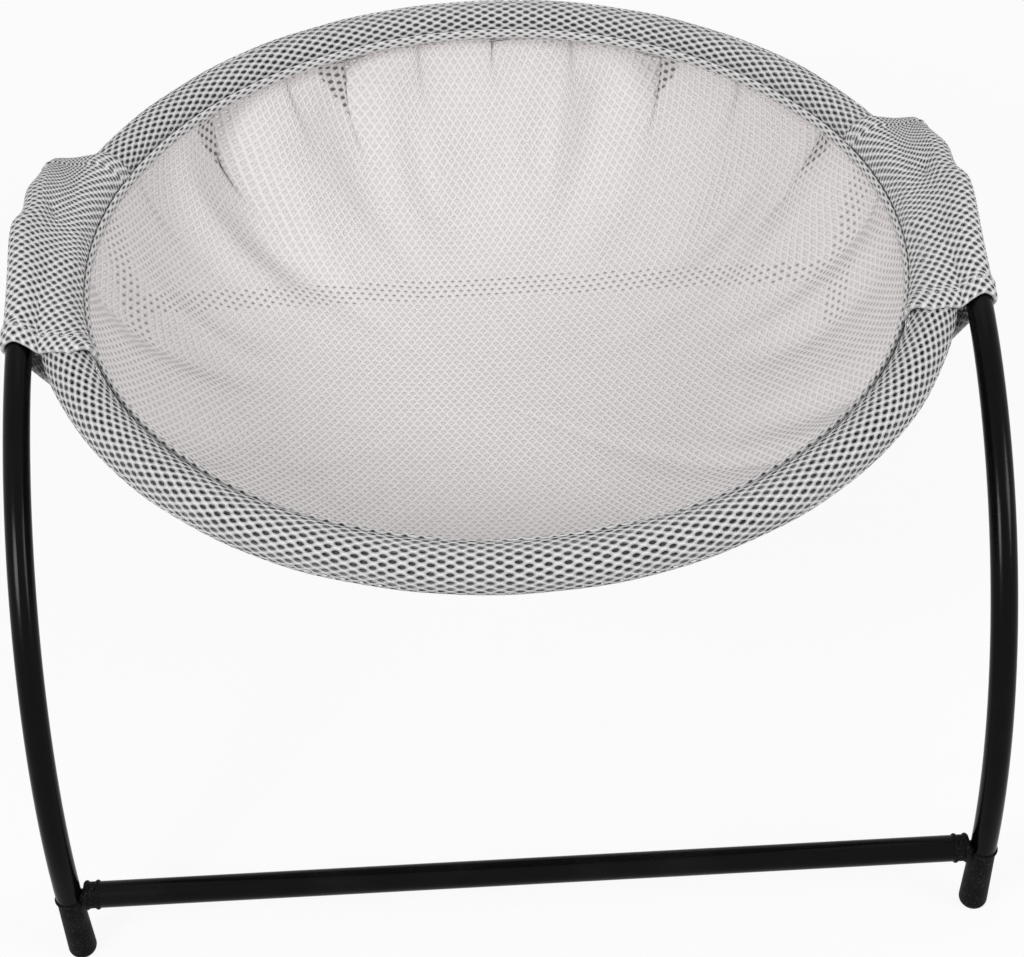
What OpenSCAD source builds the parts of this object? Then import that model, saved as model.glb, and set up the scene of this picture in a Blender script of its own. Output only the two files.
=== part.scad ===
// Cat hammock: a mesh bowl in a padded ring, hung by two sleeves from two bent-tube arches.
// Millimetres, +Z up, floor at zero, origin under the middle of the ring. The arches stand left and right.

/* [Ring] */
// Outer diameter of the padded ring
ring_d = 430; // [320:5:540]
// Thickness of the padded ring over its mesh cover
pad_d = 22; // [20:0.5:34]
// Thickness of the mesh cover
cover_t = 1.2; // [0.8:0.1:2]
// Diameter of the steel tube inside the ring
ring_tube_d = 12; // [9:0.5:14]
// Length of the plugs that join the two half rings
plug_l = 56; // [30:1:80]
// Diameter of the sewn bead along the inner edge
seam_d = 3; // [2:0.2:4]

/* [Arches] */
// Diameter of the arch and bar tubes
tube_d = 12; // [10:0.5:16]
// Wall of every tube
tube_t = 1; // [0.6:0.1:1.6]
// Bend radius of an arch, at the middle of its tube
arch_r = 212; // [180:1:260]
// Outward lean of an arch, in degrees
lean = 2.6; // [0:0.1:5]
// Depth of the bend's centre below the bars
centre_drop = 11; // [0:1:30]
// Angle above level at which the arch touches the ring
seat_angle = 42; // [20:1:60]

/* [Feet and bars] */
// Height of the bars above the floor
bar_h = 38; // [30:1:60]
// Diameter of a foot under its rim
foot_top_d = 11.8; // [10:0.1:16]
// Diameter of a foot near the floor
foot_end_d = 13; // [11:0.1:18]
// Edge radius at the bottom of a foot
foot_round = 4.5; // [2:0.1:5]
// Thickness of the rim under the leg tube
rim_t = 1.6; // [1:0.1:3]
// Length of the stem inside the leg tube
stem_l = 24; // [12:1:40]
// Diameter of the neck that carries a bar
neck_d = 6.4; // [5:0.1:7]
// Length of the neck inside the bush
neck_in = 16; // [8:1:22]
// Length of the ridged collar at a bar end
collar_l = 7.4; // [5:0.1:12]
// Length of the bush inside the bar
bush_in = 20; // [10:1:30]
// Height of the collar's ridges and of the foot's rim
ridge_h = 0.7; // [0.3:0.1:1.2]

/* [Bowl] */
// Depth of the bowl below the middle of the ring
bowl_depth = 92; // [50:1:130]
// Thickness of the bowl's mesh
bowl_t = 1.6; // [1:0.1:2.4]
// Depth of the pleats
pleat_h = 4; // [1:0.1:7]
// Number of pleats round the rim
pleats = 18; // [10:1:20]

/* [Sleeves] */
// Length of a sleeve along its arch, from the top to the front hem
sleeve_front = 56; // [35:1:75]
// Length of a sleeve along its arch, from the top to the rear hem
sleeve_rear = 111; // [60:1:130]
// Thickness of the sleeve's mesh
sleeve_t = 1.2; // [0.8:0.1:2]
// Width of the turned hems
hem_w = 9; // [5:0.5:14]
// Depth of the fold between tube and ring at the front hem
front_fold_h = 4; // [0:0.1:6]
// Depth of the fold between tube and ring at the rear hem
rear_fold_h = 3; // [0:0.1:12]

/* [Hidden] */
$fn = 64;

// Clearances: plugged tubes, layers of the padded ring, cloth round the ring, cloth round the arch
plug_fit = 0.15;
layer_gap = 0.2;
cloth_gap = 0.5;
slide_gap = 1;
// Gap between an arch and the padded ring that leans on it
seat_gap = 0.7;
// Gap between a leg's rim and the collar of the bar
collar_gap = 0.4;
// Depth of the flat that the floor cuts from a foot
floor_cut = 0.6;

tube_r = tube_d / 2;
bore_r = tube_r - tube_t;
pad_r = pad_d / 2;
ring_r = ring_d / 2 - pad_r;
ring_tube_r = ring_tube_d / 2;
seam_r = seam_d / 2;
neck_r = neck_d / 2;
rim_r = tube_r + ridge_h;

// Arch: its top, its plane and the ends of its legs at the height of the bars
seat_d = pad_r + tube_r + seat_gap;
top_rise = arch_r - centre_drop;
top_x = ring_r + seat_d * cos(seat_angle);
top_z = bar_h + top_rise * cos(lean);
ring_z = top_z - seat_d * sin(seat_angle);
leg_x = top_x - top_rise * sin(lean);
leg_angle = acos(centre_drop / arch_r);
leg_y = arch_r * sin(leg_angle);
stem_angle = stem_l / arch_r * 180 / PI;
// Length of a foot along its own axis, down to its uncut end
foot_l = bar_h / (cos(lean) * sin(leg_angle)) + floor_cut;
// Distance from a leg's axis to the collar's face
collar_x = rim_r + collar_gap;

steel_black = [0.08, 0.08, 0.09];
plastic_black = [0.13, 0.13, 0.14];
mesh_grey = [0.72, 0.72, 0.72];
bowl_grey = [0.85, 0.83, 0.82];
foam_dark = [0.18, 0.18, 0.18];
bare_steel = [0.62, 0.63, 0.65];

// Puts an arch's own plane in place: X across it, Z up along its lean, zero at the bars
module in_arch_plane() {
    translate([leg_x, 0, bar_h])
        rotate([0, lean, 0])
            children();
}

// A round section carried along the arch between two angles from its top, front being negative
module arch_sweep(from, to) {
    translate([0, 0, -centre_drop])
        rotate([90, 0, 90])
            rotate([0, 0, 90 - to])
                rotate_extrude(angle = to - from)
                    translate([arch_r, 0])
                        children();
}

// A round section carried along the ring between two angles
module ring_sweep(from, to) {
    translate([0, 0, ring_z])
        rotate([0, 0, from])
            rotate_extrude(angle = to - from)
                translate([ring_r, 0])
                    children();
}

module pipe_section(outer, inner) {
    difference() {
        circle(r = outer);
        circle(r = inner);
    }
}

module mirrored_if(flip, axis) {
    if (flip)
        mirror(axis)
            children();
    else
        children();
}

// Turns a part made for the front right corner to any corner
module at_corner(left, rear) {
    mirrored_if(left, [1, 0, 0])
        mirrored_if(rear, [0, 1, 0])
            children();
}

// One bent tube, with a notch at the inner side of each end for the foot's neck
module arch(left) {
    color(steel_black)
        mirrored_if(left, [1, 0, 0])
            difference() {
                in_arch_plane()
                    arch_sweep(-leg_angle, leg_angle)
                        pipe_section(tube_r, bore_r);
                for (end_y = [-leg_y, leg_y])
                    translate([leg_x, end_y, bar_h])
                        rotate([0, -90, 0])
                            cylinder(r = neck_r + plug_fit, h = tube_d);
            }
}

module left_arch() { arch(true); }
module right_arch() { arch(false); }

// Straight tube between two bushes
module bar(rear) {
    half_l = leg_x - collar_x - collar_l;
    color(steel_black)
        mirrored_if(rear, [0, 1, 0])
            translate([-half_l, -leg_y, bar_h])
                rotate([0, 90, 0])
                    linear_extrude(2 * half_l)
                        pipe_section(tube_r, bore_r);
}

module front_bar() { bar(false); }
module rear_bar() { bar(true); }

// Half outline of a foot: rim, slightly flared body and a rounded end
module foot_outline() {
    end_r = foot_end_d / 2;
    round_r = min(foot_round, end_r);
    translate([0, -rim_t])
        square([rim_r - rim_t / 2, rim_t]);
    translate([rim_r - rim_t / 2, -rim_t / 2])
        circle(d = rim_t);
    polygon([
        [0, -rim_t / 2],
        [foot_top_d / 2, -rim_t / 2],
        [end_r, round_r - foot_l],
        [0, round_r - foot_l]
    ]);
    translate([0, -foot_l])
        square([end_r - round_r, foot_l / 2]);
    intersection() {
        translate([end_r - round_r, round_r - foot_l])
            circle(r = round_r);
        translate([0, -foot_l])
            square([end_r, foot_l]);
    }
}

// Foot connector: stem up the leg tube, rim, body cut flat by the floor and a neck for the bar
module foot(left, rear) {
    color(plastic_black)
        at_corner(left, rear)
            difference() {
                union() {
                    in_arch_plane() {
                        arch_sweep(-leg_angle, stem_angle - leg_angle)
                            circle(r = bore_r - plug_fit);
                        translate([0, -leg_y, 0])
                            rotate([leg_angle - 90, 0, 0])
                                rotate_extrude()
                                    foot_outline();
                    }
                    translate([leg_x, -leg_y, bar_h])
                        rotate([0, -90, 0])
                            cylinder(r = neck_r, h = collar_x + neck_in);
                }
                translate([leg_x - foot_l, -leg_y - foot_l, -foot_l])
                    cube([2 * foot_l, 2 * foot_l, foot_l]);
            }
}

module front_left_foot() { foot(true, false); }
module front_right_foot() { foot(false, false); }
module rear_left_foot() { foot(true, true); }
module rear_right_foot() { foot(false, true); }

// Half width of a ridge, as a share of the collar's length
ridge_share = 1 / 6;

// Half outline of a bush: collar with a ridge at each end, then the stub that fills the bar
module bush_outline() {
    bush_r = neck_r + plug_fit;
    ridge_r = collar_l * ridge_share;
    translate([bush_r, 0])
        square([tube_r - bush_r, collar_l]);
    for (ridge_z = [ridge_r, collar_l - ridge_r])
        translate([tube_r + ridge_h - ridge_r, ridge_z])
            circle(r = ridge_r);
    translate([bush_r, 0])
        square([bore_r - plug_fit - bush_r, collar_l + bush_in]);
}

module bush(left, rear) {
    color(plastic_black)
        at_corner(left, rear)
            translate([leg_x - collar_x, -leg_y, bar_h])
                rotate([0, -90, 0])
                    rotate_extrude()
                        bush_outline();
}

module front_left_bush() { bush(true, false); }
module front_right_bush() { bush(false, false); }
module rear_left_bush() { bush(true, true); }
module rear_right_bush() { bush(false, true); }

// Half ring tubes, their plugs and the foam round them, with a small gap where the halves meet
joint_angle = layer_gap / ring_r * 180 / PI;

module half_ring(start, outer, inner) {
    ring_sweep(start + joint_angle / 2, start + 180 - joint_angle / 2)
        pipe_section(outer, inner);
}

module ring_tube_front() {
    color(bare_steel)
        half_ring(180, ring_tube_r, ring_tube_r - tube_t);
}

module ring_tube_rear() {
    color(bare_steel)
        half_ring(0, ring_tube_r, ring_tube_r - tube_t);
}

module ring_plug(middle) {
    half_angle = plug_l / 2 / ring_r * 180 / PI;
    color(plastic_black)
        ring_sweep(middle - half_angle, middle + half_angle)
            circle(r = ring_tube_r - tube_t - plug_fit);
}

module ring_plug_left() { ring_plug(180); }
module ring_plug_right() { ring_plug(0); }

module foam_front() {
    color(foam_dark)
        half_ring(180, pad_r - cover_t - layer_gap, ring_tube_r + layer_gap);
}

module foam_rear() {
    color(foam_dark)
        half_ring(0, pad_r - cover_t - layer_gap, ring_tube_r + layer_gap);
}

// Mesh cover round the whole ring, and the sewn bead along its inner edge
module ring_cover() {
    color(mesh_grey)
        ring_sweep(0, 360)
            pipe_section(pad_r, pad_r - cover_t);
}

seam_x = ring_r - pad_r - layer_gap - seam_r;

module rim_seam() {
    color(mesh_grey)
        translate([0, 0, ring_z])
            rotate_extrude()
                translate([seam_x, 0])
                    circle(r = seam_r);
}

// Joins rows of points into a closed skin of triangles. Each row is a loop of the same count.
function row_faces(rows, count) = [
    for (i = [0 : rows - 2], j = [0 : count - 1])
        let (k = (j + 1) % count, a = i * count, b = a + count)
            each [[a + j, b + j, b + k], [a + j, b + k, a + k]]
];

// Bowl: a pan-shaped sag, with pleats that open below the rim and fade towards the floor of the bowl
bowl_rows = 7;
cols_per_pleat = 4;
bowl_cols = pleats * cols_per_pleat;
rim_inset = cloth_gap + bowl_t;
rim_drop = seam_r + cloth_gap;
bowl_rim_r = ring_r - sqrt(pad_r * pad_r - rim_drop * rim_drop) - rim_inset;
// Shape of the sag: a flatter floor with a higher power, a steeper wall with a smaller exponent
sag_power = 3;
sag_round = 0.7;
// Radii, as shares of the rim's, where the pleats start and where they are deepest
pleat_start_share = 0.5;
pleat_full_share = 0.87;
// How closely the rows crowd to the rim, and the step that measures the slope
row_crowding = 0.6;
slope_step_share = 0.01;

// Share of the radius at each row, closer together near the rim
function row_share(i) = pow(i / bowl_rows, row_crowding);
function sag(share) = -rim_drop - (bowl_depth - rim_drop) * pow(1 - pow(share, sag_power), sag_round);
function ramp(x) = let (c = max(0, min(1, x))) c * c * (3 - 2 * c);
function pleat_gain(share) =
    ramp((share - pleat_start_share) / (pleat_full_share - pleat_start_share))
    * (1 - ramp((share - pleat_full_share) / (1 - pleat_full_share)));
// Outward normal of the plain sag in its radius and height, from two nearby points
function sag_normal(share) =
    let (
        lo = max(0, share - slope_step_share),
        hi = min(1, share + slope_step_share),
        run = (hi - lo) * bowl_rim_r,
        rise = sag(hi) - sag(lo),
        size = norm([run, rise])
    )
    [rise / size, -run / size];
function bowl_point(share, turn, offset) =
    let (
        normal = sag_normal(share),
        push = offset + pleat_h * pleat_gain(share) * cos(pleats * turn),
        radius = share * bowl_rim_r + normal[0] * push
    )
    [radius * cos(turn), radius * sin(turn), ring_z + sag(share) + normal[1] * push];

module bowl() {
    loops = [
        for (i = [1 : bowl_rows]) [row_share(i), 0],
        for (i = [bowl_rows : -1 : 1]) [row_share(i), bowl_t]
    ];
    rows = len(loops);
    points = [
        for (loop = loops, j = [0 : bowl_cols - 1])
            bowl_point(loop[0], j * 360 / bowl_cols, loop[1]),
        [0, 0, ring_z + sag(0)],
        [0, 0, ring_z + sag(0) - bowl_t]
    ];
    inner_pole = rows * bowl_cols;
    outer_pole = inner_pole + 1;
    last = (rows - 1) * bowl_cols;
    poles = [
        for (j = [0 : bowl_cols - 1])
            let (k = (j + 1) % bowl_cols)
                each [[inner_pole, j, k], [outer_pole, last + k, last + j]]
    ];
    color(bowl_grey)
        polyhedron(points, concat(row_faces(rows, bowl_cols), poles));
}

// Sleeve: a band of mesh over the arch and round the ring, open at the ring's inner edge.
// Its section is two arcs joined by straight spans that touch both circles.
sleeve_steps = 12;
// How far a sleeve spreads along the ring, as shares of its lengths along the arch
front_spread_share = 1.24;
rear_spread_share = 0.74;
sleeve_ring_r = pad_r + cloth_gap;
sleeve_arch_r = tube_r + slide_gap;
// Angles above and below level at which the band ends on the ring's inner side
upper_end = 16;
lower_end = 38;
ring_steps_over = 6;
span_steps = 6;
arch_steps = 9;
ring_steps_under = 8;
front_hem_share = hem_w / sleeve_front;
rear_hem_share = hem_w / sleeve_rear;
// Width of the slope up to a doubled hem, as a share of the length
hem_slope_share = 0.03;
// Layers of mesh in a turned hem
hem_layers = 2;
// How fast the fold deepens towards a hem, and how much of the room over the tubes it can take
fold_power = 2;
fold_room_share = 0.5;

function leaned(across, along, up) = [
    across * cos(lean) + up * sin(lean),
    along,
    up * cos(lean) - across * sin(lean)
];
function arch_centre(a) =
    [leg_x, 0, bar_h] + leaned(0, arch_r * sin(a), arch_r * cos(a) - centre_drop);
function ring_centre(b) = [ring_r * cos(b), ring_r * sin(b), ring_z];
function on_arch(a, g, r) =
    arch_centre(a) + leaned(r * cos(g), r * sin(g) * sin(a), r * sin(g) * cos(a));
function on_ring(b, g, r) =
    ring_centre(b) + [r * cos(g) * cos(b), r * cos(g) * sin(b), r * sin(g)];

// Angle at which a straight span touches a tube, from the gap as the tube's section plane shows it
function touch_angle(gap, side) =
    atan2(gap[1], gap[0]) + side * acos((sleeve_ring_r - sleeve_arch_r) / norm(gap));
// Room between a straight span and the circle that it touches, at a distance along the span
function room(along, r) = norm([along, r]) - r;

// Points of one section at a station from -1, the rear hem, to 1, the front hem
function sleeve_path(station, offset) =
    let (
        front = station > 0,
        a = -station * (front ? sleeve_front : sleeve_rear) / arch_r * 180 / PI,
        b = a * (front ? front_spread_share : rear_spread_share) * arch_r / ring_r,
        gap = arch_centre(a) - ring_centre(b),
        by_ring = [gap * [cos(b), sin(b), 0], gap[2]],
        by_arch = [gap * leaned(1, 0, 0), gap * leaned(0, sin(a), cos(a))],
        r_ring = sleeve_ring_r + offset,
        r_arch = sleeve_arch_r + offset,
        first = 180 - upper_end,
        last = lower_end - 180,
        over_ring = touch_angle(by_ring, 1),
        over_arch = touch_angle(by_arch, 1),
        under_ring = touch_angle(by_ring, -1),
        under_arch = touch_angle(by_arch, -1),
        from = on_ring(b, over_ring, r_ring),
        to = on_arch(a, over_arch, r_arch),
        inward = on_ring(b, under_ring, r_ring) + on_arch(a, under_arch, r_arch) - from - to,
        span = norm(to - from),
        fold = (front ? front_fold_h : rear_fold_h) * pow(abs(station), fold_power)
    )
    concat(
        [for (i = [0 : ring_steps_over])
            on_ring(b, first + (over_ring - first) * i / ring_steps_over, r_ring)],
        [for (i = [1 : span_steps - 1])
            let (
                u = i / span_steps,
                free = min(room(u * span, sleeve_ring_r), room((1 - u) * span, sleeve_arch_r)),
                dip = min(fold, fold_room_share * free)
            )
                from + (to - from) * u + inward / norm(inward) * dip],
        [for (i = [0 : arch_steps])
            on_arch(a, over_arch + (under_arch - over_arch) * i / arch_steps, r_arch)],
        [for (i = [0 : ring_steps_under])
            on_ring(b, under_ring + (last - under_ring) * i / ring_steps_under, r_ring)]
    );

function reversed(list) = [for (i = [len(list) - 1 : -1 : 0]) list[i]];

// Stations along a sleeve, with a short slope at each hem up to where the mesh is doubled
function station_list() =
    let (
        rear = rear_hem_share - 1,
        front = 1 - front_hem_share,
        start = rear + hem_slope_share,
        end = front - hem_slope_share
    )
    concat([-1, rear], [for (i = [0 : sleeve_steps]) start + (end - start) * i / sleeve_steps], [front, 1]);

module sleeve(left) {
    stations = station_list();
    rows = len(stations);
    sections = [
        for (i = [0 : rows - 1])
            let (doubled = i < 2 || i > rows - 3, thick = doubled ? hem_layers * sleeve_t : sleeve_t)
                concat(sleeve_path(stations[i], thick), reversed(sleeve_path(stations[i], 0)))
    ];
    count = len(sections[0]);
    half = count / 2;
    cap = [for (j = [0 : half - 2]) [j, j + 1, count - 2 - j, count - 1 - j]];
    last = (rows - 1) * count;
    caps = [
        for (q = cap)
            each [
                [q[0], q[1], q[2]], [q[0], q[2], q[3]],
                [last + q[2], last + q[1], last + q[0]], [last + q[3], last + q[2], last + q[0]]
            ]
    ];
    color(mesh_grey)
        mirrored_if(left, [1, 0, 0])
            polyhedron([for (s = sections) each s], concat(row_faces(rows, count), caps));
}

module left_sleeve() { sleeve(true); }
module right_sleeve() { sleeve(false); }

left_arch();
right_arch();
front_bar();
rear_bar();
front_left_foot();
front_right_foot();
rear_left_foot();
rear_right_foot();
front_left_bush();
front_right_bush();
rear_left_bush();
rear_right_bush();
ring_tube_front();
ring_tube_rear();
ring_plug_left();
ring_plug_right();
foam_front();
foam_rear();
ring_cover();
rim_seam();
bowl();
left_sleeve();
right_sleeve();
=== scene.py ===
"""Cat hammock: a pleated mesh bowl in a padded ring, hung by two mesh sleeves from two bent-tube arches.

Metres, +Z up, the floor at zero, the front at -Y. The tubes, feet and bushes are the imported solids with
their own finishes. Every soft piece is a surface on a grid of two parameters, worked out as whole arrays.
"""

import logging
import math
from dataclasses import dataclass
from enum import Enum
from typing import Any, Callable, Union

import bpy
import numpy as np
from mathutils import Matrix, Vector


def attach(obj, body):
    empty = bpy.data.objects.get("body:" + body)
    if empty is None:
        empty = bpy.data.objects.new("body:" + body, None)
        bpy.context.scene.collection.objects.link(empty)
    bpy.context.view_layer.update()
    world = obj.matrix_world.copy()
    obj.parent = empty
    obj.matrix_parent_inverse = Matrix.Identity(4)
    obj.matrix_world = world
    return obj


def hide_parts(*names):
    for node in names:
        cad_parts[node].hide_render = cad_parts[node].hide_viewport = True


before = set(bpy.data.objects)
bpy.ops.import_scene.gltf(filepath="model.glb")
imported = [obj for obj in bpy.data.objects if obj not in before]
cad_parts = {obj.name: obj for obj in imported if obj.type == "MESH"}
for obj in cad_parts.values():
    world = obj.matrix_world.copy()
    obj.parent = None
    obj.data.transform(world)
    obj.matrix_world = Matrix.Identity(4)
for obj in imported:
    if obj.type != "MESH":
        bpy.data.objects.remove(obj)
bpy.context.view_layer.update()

Array = np.ndarray
Colour = tuple[float, float, float]
Place = tuple[float, float, float]
Pair = tuple[float, float]
Key = Union[str, int]
LOG = logging.getLogger("hammock")
MM = 0.001
WHITE: Colour = (1.0, 1.0, 1.0)
IMAGE_WIDTH = 1024
IMAGE_HEIGHT = 957
KNIT_UV = "knit"
DOUBLED = "doubled"
UNDER = "under"


class Side(Enum):
    """The side of the hammock that an arch and its sleeve are on, as the sign of X."""

    LEFT = -1
    RIGHT = 1


def math_method(operation: str, swapped: bool = False) -> Callable[..., "Signal"]:
    """Makes a method of Signal that adds one Math node.

    Args:
        operation: Blender's name for the sum.
        swapped: whether the other value comes first, as in a number less a signal.

    Returns:
        The method.
    """

    def method(self: "Signal", *others: Union["Signal", float]) -> "Signal":
        """Adds the node to the signal's own tree."""
        values = (*others, self) if swapped else (self, *others)
        return add_node(self.tree, "Math", {"operation": operation}, dict(enumerate(values)))

    return method


class Signal:
    """A shader socket that takes part in Python sums; each operator adds one Math node."""

    def __init__(self, tree: bpy.types.NodeTree, socket: bpy.types.NodeSocket) -> None:
        """Wraps a socket of a tree."""
        self.tree = tree
        self.socket = socket

    __add__, __radd__ = math_method("ADD"), math_method("ADD", swapped=True)
    __sub__, __rsub__ = math_method("SUBTRACT"), math_method("SUBTRACT", swapped=True)
    __mul__, __rmul__ = math_method("MULTIPLY"), math_method("MULTIPLY", swapped=True)
    __truediv__, __pow__ = math_method("DIVIDE"), math_method("POWER")
    __abs__, fraction = math_method("ABSOLUTE"), math_method("FRACT")
    least, most = math_method("MINIMUM"), math_method("MAXIMUM")


def add_node(
    tree: bpy.types.NodeTree,
    kind: str,
    settings: dict[str, Any],
    inputs: dict[Key, Any],
    output: Key = 0,
) -> Signal:
    """Adds any node to a tree.

    Args:
        tree: the tree of a material or a world.
        kind: Blender's node type, without its ShaderNode prefix.
        settings: properties that are set first.
        inputs: values or signals by socket name or number.
        output: the output that is wanted.

    Returns:
        That output as a signal.
    """
    node = tree.nodes.new("ShaderNode" + kind)
    for key, value in settings.items():
        setattr(node, key, value)
    for key, value in inputs.items():
        if isinstance(value, Signal):
            tree.links.new(value.socket, node.inputs[key])
        else:
            node.inputs[key].default_value = value
    return Signal(tree, node.outputs[output])


class Paint:
    """A node material under construction, with one Principled shader."""

    def __init__(self, name: str) -> None:
        """Starts an empty material.

        Args:
            name: the material's name.
        """
        self.material = bpy.data.materials.new(name)
        self.material.use_nodes = True
        self.tree = self.material.node_tree
        self.tree.nodes.clear()
        self.out = self.tree.nodes.new("ShaderNodeOutputMaterial")
        self.shader = self.tree.nodes.new("ShaderNodeBsdfPrincipled")
        self.tree.links.new(self.shader.outputs[0], self.out.inputs["Surface"])

    def node(self, kind: str, settings: dict[str, Any], inputs: dict[Key, Any], output: Key = 0) -> Signal:
        """Adds any node to this material, as add_node does."""
        return add_node(self.tree, kind, settings, inputs, output)

    def plain(self, **values: Any) -> None:
        """Sets constants on the shader's own sockets, with underscores for the spaces in their names."""
        for key, value in values.items():
            self.shader.inputs[key.replace("_", " ")].default_value = value

    def feed(self, socket: str, signal: Signal) -> None:
        """Feeds one of the shader's sockets from a signal."""
        self.tree.links.new(signal.socket, self.shader.inputs[socket])

    def mixed(self, share: Signal, first: Any, second: Any) -> Signal:
        """A colour between two, first at share 0 and second at share 1."""
        return self.node("Mix", {"data_type": "RGBA"}, {0: share, 6: first, 7: second}, 2)

    def span(self, value: Signal, low: float, high: float, start: float = 0.0, end: float = 1.0) -> Signal:
        """A smooth step: start below low, end above high."""
        settings = {"interpolation_type": "SMOOTHSTEP"}
        return self.node("MapRange", settings, {0: value, 1: low, 2: high, 3: start, 4: end})

    def noise(self, place: Signal, scale: float, detail: float) -> Signal:
        """Soft noise between 0 and 1 at a place.

        Args:
            place: coordinates in metres.
            scale: lumps per metre.
            detail: octaves of finer noise.

        Returns:
            The noise's value.
        """
        return self.node("TexNoise", {}, {"Vector": place, "Scale": scale, "Detail": detail})

    def object_place(self) -> Signal:
        """The point's own coordinates, in metres."""
        return self.node("TexCoord", {}, {}, "Object")

    def bump(self, height: Signal, distance: float, strength: float) -> None:
        """Feeds the normal with a relief of that height in metres."""
        inputs = {"Height": height, "Distance": distance, "Strength": strength}
        self.feed("Normal", self.node("Bump", {}, inputs))


def rgba(colour: Colour) -> tuple[float, float, float, float]:
    """A colour as a socket takes it."""
    return (*colour, 1.0)


@dataclass(frozen=True)
class CoatedTube:
    """Black powder coat on tube: glossy, with a faint orange peel and a little dust."""

    name: str = "black_coated_tube"
    colour: Colour = (0.0012, 0.0012, 0.0014)
    dusty: Colour = (0.004, 0.004, 0.0044)
    dust_scale: float = 26.0
    rough: float = 0.2
    dust_rough: float = 0.1
    shine: float = 0.085
    peel_scale: float = 420.0
    peel_height: float = 0.00004

    def build(self) -> bpy.types.Material:
        """Makes the material.

        Returns:
            The material.
        """
        paint = Paint(self.name)
        place = paint.object_place()
        dust = paint.span(paint.noise(place, self.dust_scale, 4.0), 0.45, 0.8)
        paint.feed("Base Color", paint.mixed(dust, rgba(self.colour), rgba(self.dusty)))
        paint.feed("Roughness", self.rough + dust * self.dust_rough)
        paint.plain(Specular_IOR_Level=self.shine)
        paint.bump(paint.noise(place, self.peel_scale, 1.0), self.peel_height, 0.5)
        return paint.material


@dataclass(frozen=True)
class MouldedPlastic:
    """Matt black moulding with a fine spark-eroded grain, rubbed smoother in places, with painted glints."""

    name: str = "black_moulded_plastic"
    colour: Colour = (0.0035, 0.0035, 0.0039)
    rubbed: Colour = (0.009, 0.009, 0.0094)
    painted_glint: Colour = (0.024, 0.024, 0.0245)
    rub_scale: float = 60.0
    painted_glint_scale: float = 1100.0
    rough: float = 0.52
    rub_smooth: float = 0.12
    shine: float = 0.04
    grain_scale: float = 1500.0
    grain_height: float = 0.00012

    def build(self) -> bpy.types.Material:
        """Makes the material.

        Returns:
            The material.
        """
        paint = Paint(self.name)
        place = paint.object_place()
        rub = paint.span(paint.noise(place, self.rub_scale, 4.0), 0.5, 0.85)
        # Painted glints: lighter flecks where the spark-eroded grain would catch the light.
        painted_glint = paint.span(paint.noise(place, self.painted_glint_scale, 2.0), 0.52, 0.74)
        worn = paint.mixed(rub, rgba(self.colour), rgba(self.rubbed))
        paint.feed("Base Color", paint.mixed(painted_glint, worn, rgba(self.painted_glint)))
        paint.feed("Roughness", self.rough - rub * self.rub_smooth)
        paint.plain(Specular_IOR_Level=self.shine)
        paint.bump(paint.noise(place, self.grain_scale, 3.0), self.grain_height, 0.8)
        return paint.material


@dataclass(frozen=True)
class DrawnSteel:
    """Plain drawn tube with faint drawing marks."""

    name: str = "drawn_steel"
    colour: Colour = (0.55, 0.56, 0.58)
    mark_scale: float = 900.0
    rough: float = 0.28
    mark_rough: float = 0.2
    mark_height: float = 0.00002

    def build(self) -> bpy.types.Material:
        """Makes the material.

        Returns:
            The material.
        """
        paint = Paint(self.name)
        marks = paint.noise(paint.object_place(), self.mark_scale, 3.0)
        paint.plain(Base_Color=rgba(self.colour), Metallic=1.0)
        paint.feed("Roughness", self.rough + marks * self.mark_rough)
        paint.bump(marks, self.mark_height, 0.4)
        return paint.material


@dataclass(frozen=True)
class PadFoam:
    """Dark closed-cell foam: small rounded cells."""

    name: str = "dark_foam"
    colour: Colour = (0.065, 0.065, 0.067)
    cell_edge: Colour = (0.11, 0.11, 0.112)
    cell_scale: float = 900.0
    cell_height: float = 0.0003
    rough: float = 0.95
    shine: float = 0.1

    def build(self) -> bpy.types.Material:
        """Makes the material.

        Returns:
            The material.
        """
        paint = Paint(self.name)
        inputs = {"Vector": paint.object_place(), "Scale": self.cell_scale}
        cells = paint.node("TexVoronoi", {}, inputs, "Distance")
        edge = paint.span(cells, 0.3, 0.7)
        paint.feed("Base Color", paint.mixed(edge, rgba(self.colour), rgba(self.cell_edge)))
        paint.plain(Roughness=self.rough, Specular_IOR_Level=self.shine)
        paint.bump(cells, self.cell_height, 0.7)
        return paint.material


@dataclass(frozen=True)
class SewingThread:
    """Pale twisted thread."""

    name: str = "grey_thread"
    colour: Colour = (0.60, 0.595, 0.595)
    shade: Colour = (0.40, 0.395, 0.395)
    ply_scale: float = 1800.0
    ply_height: float = 0.0001
    rough: float = 0.7
    shine: float = 0.3

    def build(self) -> bpy.types.Material:
        """Makes the material.

        Returns:
            The material.
        """
        paint = Paint(self.name)
        ply = paint.span(paint.noise(paint.object_place(), self.ply_scale, 1.0), 0.4, 0.6)
        paint.feed("Base Color", paint.mixed(ply, rgba(self.shade), rgba(self.colour)))
        paint.plain(Roughness=self.rough, Specular_IOR_Level=self.shine)
        paint.bump(ply, self.ply_height, 0.5)
        return paint.material


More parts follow.
